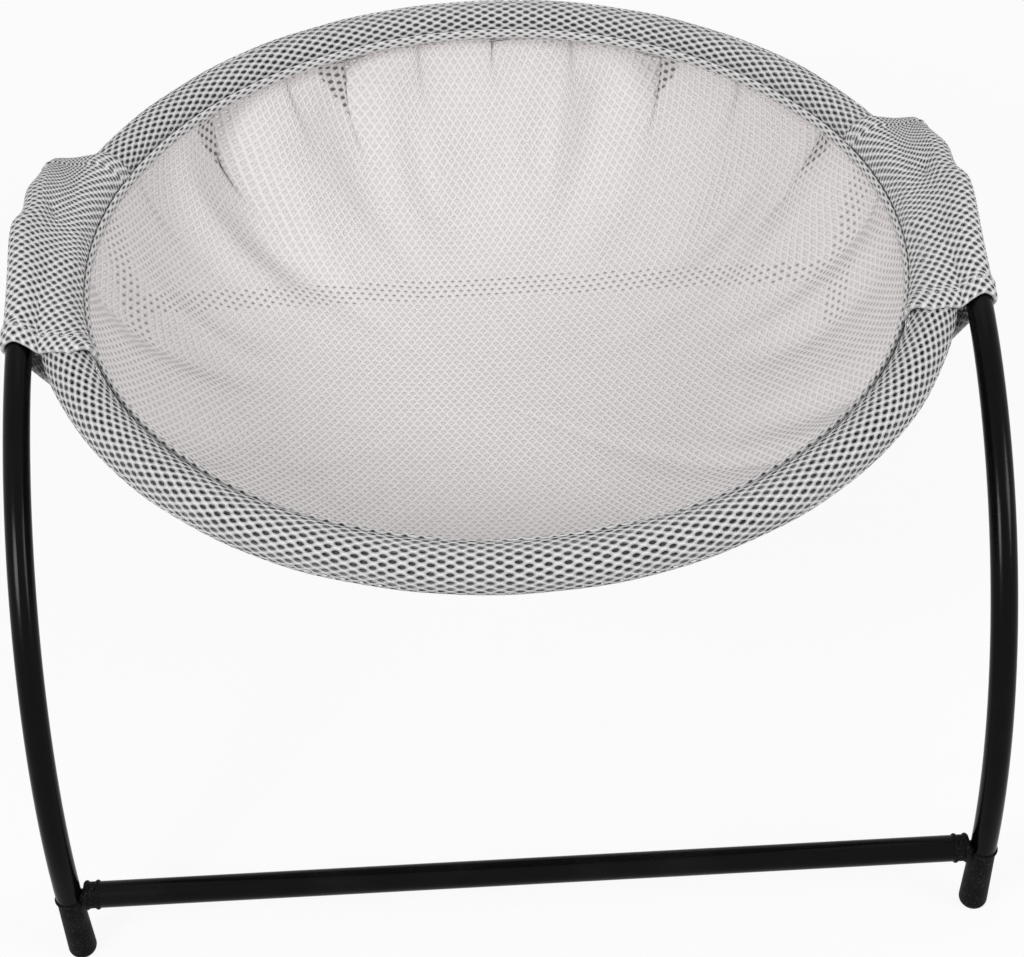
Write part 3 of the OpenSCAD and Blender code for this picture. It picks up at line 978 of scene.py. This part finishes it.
@dataclass
class Sleeve:
    """One mesh sleeve: a tunnel over the arch and round the ring, with turned hems at its two ends."""

    ring: PaddedRing
    side: Side
    arch_r: float = 0.212
    tube_r: float = 0.006
    lean: float = math.radians(2.6)
    leg_x: float = 0.208036
    bar_h: float = 0.038
    centre_drop: float = 0.011
    front: float = 0.056
    rear: float = 0.111
    front_spread: float = 1.24
    rear_spread: float = 0.74
    cloth_gap: float = 0.0005
    slide_gap: float = 0.0008
    cloth_t: float = 0.0008
    front_fold: float = 0.006
    rear_fold: float = 0.0004
    fold_power: float = 1.7
    room_share: float = 0.6
    ripple: float = 0.8 * MM
    ruck: float = 0.3 * MM
    flare: float = 0.002
    slack: float = 0.0036
    slack_place: float = 0.02
    slack_ahead: float = 32 * MM
    slack_behind: float = 10 * MM
    crease: float = 0.0016
    crease_place: float = 0.04
    crease_width: float = 6 * MM
    lobe_share: float = 0.45
    lobe_behind: float = 22 * MM
    lobe_width: float = 14 * MM
    first: float = math.radians(166)
    last: float = math.radians(-142)
    path_points: tuple[int, ...] = (22, 30, 26, 14, 26)
    middle_stations: int = 96
    hem: float = 0.009
    hem_gap: float = 0.1 * MM
    hem_lip: float = 0.6 * MM
    hem_step: float = 2.5 * MM
    pitch: Pair = (4.7 * MM, 4.9 * MM)
    hole: Pair = (2.1 * MM, 2.0 * MM)
    stitch_place: float = 0.82
    stitch_pitch: float = 3.4 * MM
    stitch_margin: float = 2 * MM
    stitch: Pair = (2.4 * MM, 0.24 * MM)

    def leaned(self, across: Array, along: Array, up: Array) -> Array:
        """Turns a vector of the arch's own plane into the frame's axes by the arch's lean."""
        c, s = math.cos(self.lean), math.sin(self.lean)
        return np.stack(np.broadcast_arrays(across * c + up * s, along, up * c - across * s), -1)

    def on_arch(self, a: Array, g: Array, r: Array) -> Array:
        """Points round the arch: a section carried along its middle line, all leaned with it.

        Args:
            a: the angle along the arch, from its top to the rear.
            g: the angle round the section.
            r: the distance from the middle line.

        Returns:
            The points.
        """
        base = np.array([self.leg_x, 0.0, self.bar_h])
        centre = self.leaned(0 * a, self.arch_r * np.sin(a), self.arch_r * np.cos(a) - self.centre_drop)
        up = r * np.sin(g)
        return base + centre + self.leaned(r * np.cos(g), up * np.sin(a), up * np.cos(a))

    def touch(self, gap_x: Array, gap_y: Array) -> tuple[Array, Array]:
        """Finds where the spans touch a tube: at the gap's tilt, plus and minus an arc cosine.

        Args:
            gap_x: the gap from the ring's middle line to the arch's, outwards in the tube's section plane.
            gap_y: the same, upwards.

        Returns:
            The angles at which the upper and the lower span touch.
        """
        tilt = np.arctan2(gap_y, gap_x)
        lap = self.ring.pad_r + self.cloth_gap - self.tube_r - self.slide_gap
        wrap = np.arccos(lap / np.hypot(gap_x, gap_y))
        return tilt + wrap, tilt - wrap

    def band(self, station: Array, offset: Array) -> Array:
        """The tunnel's points at each station along the arch.

        The section is an arc over the ring, a span to the arch, an arc round the arch, a span back and an arc
        under the ring. The spans touch both tubes. The upper span sinks into a fold towards the hems, by no
        more than a share of the room that it has over the tubes: the root of (distance squared plus radius
        squared), less the radius. Round the arch the cloth stands off in two lobes with a crease between
        them: a bell along the arch that falls off faster behind, and a smaller bell behind that, times a
        squared sine. The front hem flares off the ring by the sixth power of the station times such a sine.

        Args:
            station: -1 at the rear hem to 1 at the front hem.
            offset: distance of the cloth from what it lies on.

        Returns:
            Points, stations by path.
        """
        s, lift = station[:, None], offset[:, None]
        ahead = s > 0
        a = -s * np.where(ahead, self.front, self.rear) / self.arch_r
        b = a * np.where(ahead, self.front_spread, self.rear_spread) * (self.arch_r / self.ring.ring_r)
        zero, on_ring = np.zeros_like(a), self.ring.torus
        gap = self.on_arch(a, zero, zero) - on_ring(b, zero, zero)
        over_ring, under_ring = self.touch((gap * polar(1.0, b, 0.0)).sum(-1), gap[..., 2])
        out, up = self.leaned(zero + 1, zero, zero), self.leaned(zero, np.sin(a), np.cos(a))
        over_arch, under_arch = self.touch((gap * out).sum(-1), (gap * up).sum(-1))
        r_ring, r_arch = self.ring.pad_r + self.cloth_gap, self.tube_r + self.slide_gap
        share = [np.linspace(0, 1, n)[None, :] for n in self.path_points]
        arc = np.sin(math.pi * share[0])
        ruck = self.ruck * np.sin(8 * s + 2.0) * arc * (1 - s * s)
        ruck = ruck + self.flare * np.maximum(s, 0) ** 6 * arc**2
        upper = on_ring(b, self.first + (over_ring - self.first) * share[0], r_ring + lift + ruck)
        start, low_end = (on_ring(b, touch, r_ring + lift) for touch in (over_ring, under_ring))
        end, low_start = (self.on_arch(a, touch, r_arch + lift) for touch in (over_arch, under_arch))
        inward = unit(low_start + low_end - start - end)
        span = np.linalg.norm(end - start, axis=-1)
        u, back = share[1], self.arch_r * a
        hump = np.sin(math.pi * u)
        free = np.minimum(np.hypot(u * span, r_ring) - r_ring, np.hypot((1 - u) * span, r_arch) - r_arch)
        fold = np.where(ahead, self.front_fold, self.rear_fold) * np.abs(s) ** self.fold_power
        wave = self.ripple * hump**2 * np.sin(6.5 * s + 0.6)
        pinch = self.crease * bell((back - self.crease_place) / self.crease_width) * hump**0.7
        dip = fold * (1 - np.abs(2 * u - 1)) ** 0.9 + np.abs(wave) + pinch
        dip = np.minimum(dip, self.room_share * free)
        upper_span = start + (end - start) * u[..., None] + inward * dip[..., None]
        fall = np.where(back < self.slack_place, self.slack_ahead, self.slack_behind)
        lobe = bell((back - self.slack_place) / fall)
        second = (back - self.crease_place - self.lobe_behind) / self.lobe_width
        loose = self.slack * (lobe + self.lobe_share * bell(second)) * (1 - s**4)
        r_loose = r_arch + lift + loose * np.sin(math.pi * share[2]) ** 2
        round_arch = self.on_arch(a, over_arch + (under_arch - over_arch) * share[2], r_loose)
        lower_span = low_start + (low_end - low_start) * share[3][..., None]
        under = on_ring(b, under_ring + (self.last - under_ring) * share[4], r_ring + lift)
        parts = [upper, upper_span[:, 1:], round_arch[:, 1:], lower_span[:, 1:], under[:, 1:]]
        return np.concatenate(parts, 1)

    def stations(self) -> tuple[Array, Array, Array, Pair]:
        """Stations from the hidden edge of the front hem to that of the rear hem.

        Each end runs under the hem, round its folded edge and back on top, where the cloth lies one layer
        higher until the hem's stitching.

        Returns:
            Station, offset of the cloth, flat length along the sleeve, and the two folded edges' flat places.
        """
        below, above = 10, 12
        layer = self.cloth_t + self.hem_gap
        ends = []
        for length in (self.front, self.rear):
            share, lip = self.hem / length, self.hem_lip / length
            inner = np.linspace(1 - share, 1 - lip, below)
            bend = np.array([1 - 0.2 * lip, 1.0, 1 - 0.2 * lip])
            ends.append(np.concatenate([inner, bend, np.linspace(1 - lip, 1 - share, above)]))
        rise = np.array([0.2, 0.5, 0.8]) * layer
        high = np.concatenate([np.zeros(below), rise, np.full(above, layer)])
        first, last = ends[0][-1] - self.hem_step / self.front, self.hem_step / self.rear - ends[1][-1]
        middle = np.linspace(first, last, self.middle_stations)
        station = np.concatenate([ends[0], middle, -ends[1][::-1]])
        offset = np.concatenate([high, 0 * middle, high[::-1]])
        place = station * np.where(station > 0, self.front, self.rear)
        flat = run_along(np.stack([place, offset], -1))
        return station, offset, flat, (float(flat[below + 1]), float(flat[-below - 2]))

    def build(self, thread: bpy.types.Material) -> None:
        """Makes the sleeve and the stitching of its hems.

        Args:
            thread: the thread's material.
        """
        name = self.side.name.lower()
        station, offset, flat, edges = self.stations()
        points = self.band(station, offset)
        mirror = np.array([self.side.value, 1, 1])
        path = run_along(points)
        outermost = self.path_points[0] + self.path_points[1] - 1 + self.path_points[2] // 2
        path = path - path[:, outermost : outermost + 1]
        uv = np.stack(np.broadcast_arrays(path, flat[:, None]), -1)
        piece = surface(f"{name}_mesh_sleeve", points * mirror, uv, flip=self.side is Side.RIGHT)
        thicken(piece, self.cloth_t, 1.0)
        knit = SpacerKnit(
            f"{name}_sleeve_knit",
            *self.pitch,
            *self.hole,
            clear=0.85,
            yarn=(0.68, 0.673, 0.674),
            shade=(0.41, 0.405, 0.406),
            pit=(0.15, 0.15, 0.151),
            corner=1.9,
            wander=0.09,
            sealed=edges,
            seal_width=0.5 * MM,
        )
        dress(piece, knit.build(), "bed")
        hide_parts(f"{name}_sleeve")
        inset = self.stitch_place * self.hem
        rows = map(self.hem_row, (1 - inset / self.front, inset / self.rear - 1))
        centres, along, out = (np.concatenate(parts) * mirror for parts in zip(*rows))
        sewing = stitches(f"{name}_hem_stitches", centres, along, out, *self.stitch)
        dress(sewing, thread, "bed")

    def hem_row(self, station: float) -> tuple[Array, Array, Array]:
        """Places stitches along a hem.

        Args:
            station: the hem's place on the sleeve.

        Returns:
            Middles, directions and outward normals of the stitches.
        """
        lift, beside = 2 * (self.cloth_t + self.hem_gap), 0.01
        lines = self.band(np.array([station - beside, station, station + beside]), np.full(3, lift))
        run = run_along(lines[1])
        at = np.arange(self.stitch_margin, run[-1] - self.stitch_margin, self.stitch_pitch)
        rows = (lines[1], lines[2] - lines[0])
        line, cross = (np.stack([np.interp(at, run, axis) for axis in row.T], -1) for row in rows)
        along = unit(np.gradient(line, axis=0))
        return line, along, unit(np.cross(along, cross))


@dataclass
class Studio:
    """The pale floor, the soft lights and the camera at the photograph's angle.

    Each lamp has a name, a place, a size and its watts.
    """

    azimuth: float = -1.499
    elevation: float = 40.798
    roll: float = -1.895
    distance: float = 1.165142
    focal_px: float = 2384.153
    centre_px: Pair = (499.074, 367.619)
    sensor_mm: float = 36.0
    target: Place = (0.0, 0.0, 0.158)
    floor_half: float = 6.0
    floor_dark: Colour = (0.66, 0.66, 0.66)
    floor_light: Colour = (0.68, 0.68, 0.68)
    speck_scale: float = 40.0
    glow: float = 0.9
    ambient: float = 0.6
    lamps: tuple[tuple[str, Place, float, float], ...] = (
        ("key_lamp", (-1.25, -1.3, 1.5), 0.6, 24.0),
        ("fill_lamp", (1.5, -0.8, 1.2), 0.6, 14.0),
        ("top_lamp", (0.1, 0.8, 2.2), 1.2, 2.5),
    )

    def floor(self) -> None:
        """Makes the floor, which shows nearly white and still takes the object's soft shadow."""
        grid = np.linspace(-self.floor_half, self.floor_half, 3)
        flat = flat_grid(grid, grid)
        piece = surface("pale_floor", np.concatenate([flat, 0 * flat[..., :1]], -1), flat)
        paint = Paint("pale_floor_paint")
        speck = paint.noise(paint.object_place(), self.speck_scale, 2.0)
        paint.feed("Base Color", paint.mixed(speck, rgba(self.floor_dark), rgba(self.floor_light)))
        paint.plain(Roughness=0.9, Specular_IOR_Level=0.1)
        glow = paint.node("Emission", {}, {"Color": rgba(WHITE), "Strength": 1.0})
        share = self.seen(paint.tree) * self.glow
        lit = Signal(paint.tree, paint.shader.outputs[0])
        mix = paint.node("MixShader", {}, {0: share, 1: lit, 2: glow})
        paint.tree.links.new(mix.socket, paint.out.inputs["Surface"])
        piece.data.materials.append(paint.material)

    @staticmethod
    def seen(tree: bpy.types.NodeTree) -> Signal:
        """Tells the rays that show a thing from those that light others.

        Args:
            tree: the tree of a material or of the world.

        Returns:
            One for rays from the camera, off gloss or through glass, and zero for the rest.
        """
        kinds = ("Is Camera Ray", "Is Glossy Ray", "Is Transmission Ray")
        eye, gloss, glass = (add_node(tree, "LightPath", {}, {}, kind) for kind in kinds)
        return eye.most(gloss).most(glass)

    def world(self) -> None:
        """Makes the even white surroundings, which light the object less than they show."""
        world = bpy.data.worlds.new("white_room")
        world.use_nodes = True
        bpy.context.scene.world = world
        tree = world.node_tree
        back = tree.nodes["Background"]
        back.inputs["Color"].default_value = rgba(WHITE)
        strength = self.seen(tree) * (1 - self.ambient) + self.ambient
        tree.links.new(strength.socket, back.inputs["Strength"])

    def lamp(self, name: str, place: Place, size: float, watts: float) -> None:
        """Makes one soft square lamp that faces the bed.

        Args:
            name: the lamp's name.
            place: where it stands.
            size: its side.
            watts: its power.
        """
        data = bpy.data.lights.new(name, "AREA")
        data.size = size
        data.energy = watts
        lamp = bpy.data.objects.new(name, data)
        lamp.location = place
        lamp.rotation_euler = (Vector(place) - Vector(self.target)).to_track_quat("Z", "Y").to_euler()
        bpy.context.scene.collection.objects.link(lamp)

    def camera(self) -> None:
        """Makes the camera: turned by azimuth and elevation, rolled, and shifted as the photograph is."""
        az, el, roll = (math.radians(v) for v in (self.azimuth, self.elevation, self.roll))
        back = Vector((math.sin(az) * math.cos(el), -math.cos(az) * math.cos(el), math.sin(el)))
        right = Vector((math.cos(az), math.sin(az), 0.0))
        up = back.cross(right)
        x = right * math.cos(roll) + up * math.sin(roll)
        y = up * math.cos(roll) - right * math.sin(roll)
        data = bpy.data.cameras.new("photo_camera")
        data.sensor_width = self.sensor_mm
        data.sensor_fit = "HORIZONTAL"
        data.lens = self.focal_px * data.sensor_width / IMAGE_WIDTH
        data.shift_x = (IMAGE_WIDTH / 2 - self.centre_px[0]) / IMAGE_WIDTH
        data.shift_y = (self.centre_px[1] - IMAGE_HEIGHT / 2) / IMAGE_WIDTH
        data.clip_end = 50.0
        camera = bpy.data.objects.new("photo_camera", data)
        turn = Matrix((x, y, back)).transposed().to_4x4()
        camera.matrix_world = Matrix.Translation(Vector(self.target) + back * self.distance) @ turn
        bpy.context.scene.collection.objects.link(camera)
        bpy.context.scene.camera = camera

    def build(self) -> None:
        """Sets the whole stage."""
        bpy.context.scene.view_settings.view_transform = "Standard"
        self.camera()
        self.floor()
        self.world()
        for lamp in self.lamps:
            self.lamp(*lamp)


def main() -> None:
    """Builds the stage, the frame and the bed in order."""
    logging.basicConfig(level=logging.INFO, format="%(name)s: %(message)s")
    Studio().build()
    TubeFrame().dress()
    thread = SewingThread().build()
    ring = PaddedRing()
    ring.cover()
    ring.foam()
    ring.bead()
    ring.bead_stitches(thread)
    Bowl(ring).build()
    for side in Side:
        Sleeve(ring, side).build(thread)


if __name__ == "__main__":
    main()
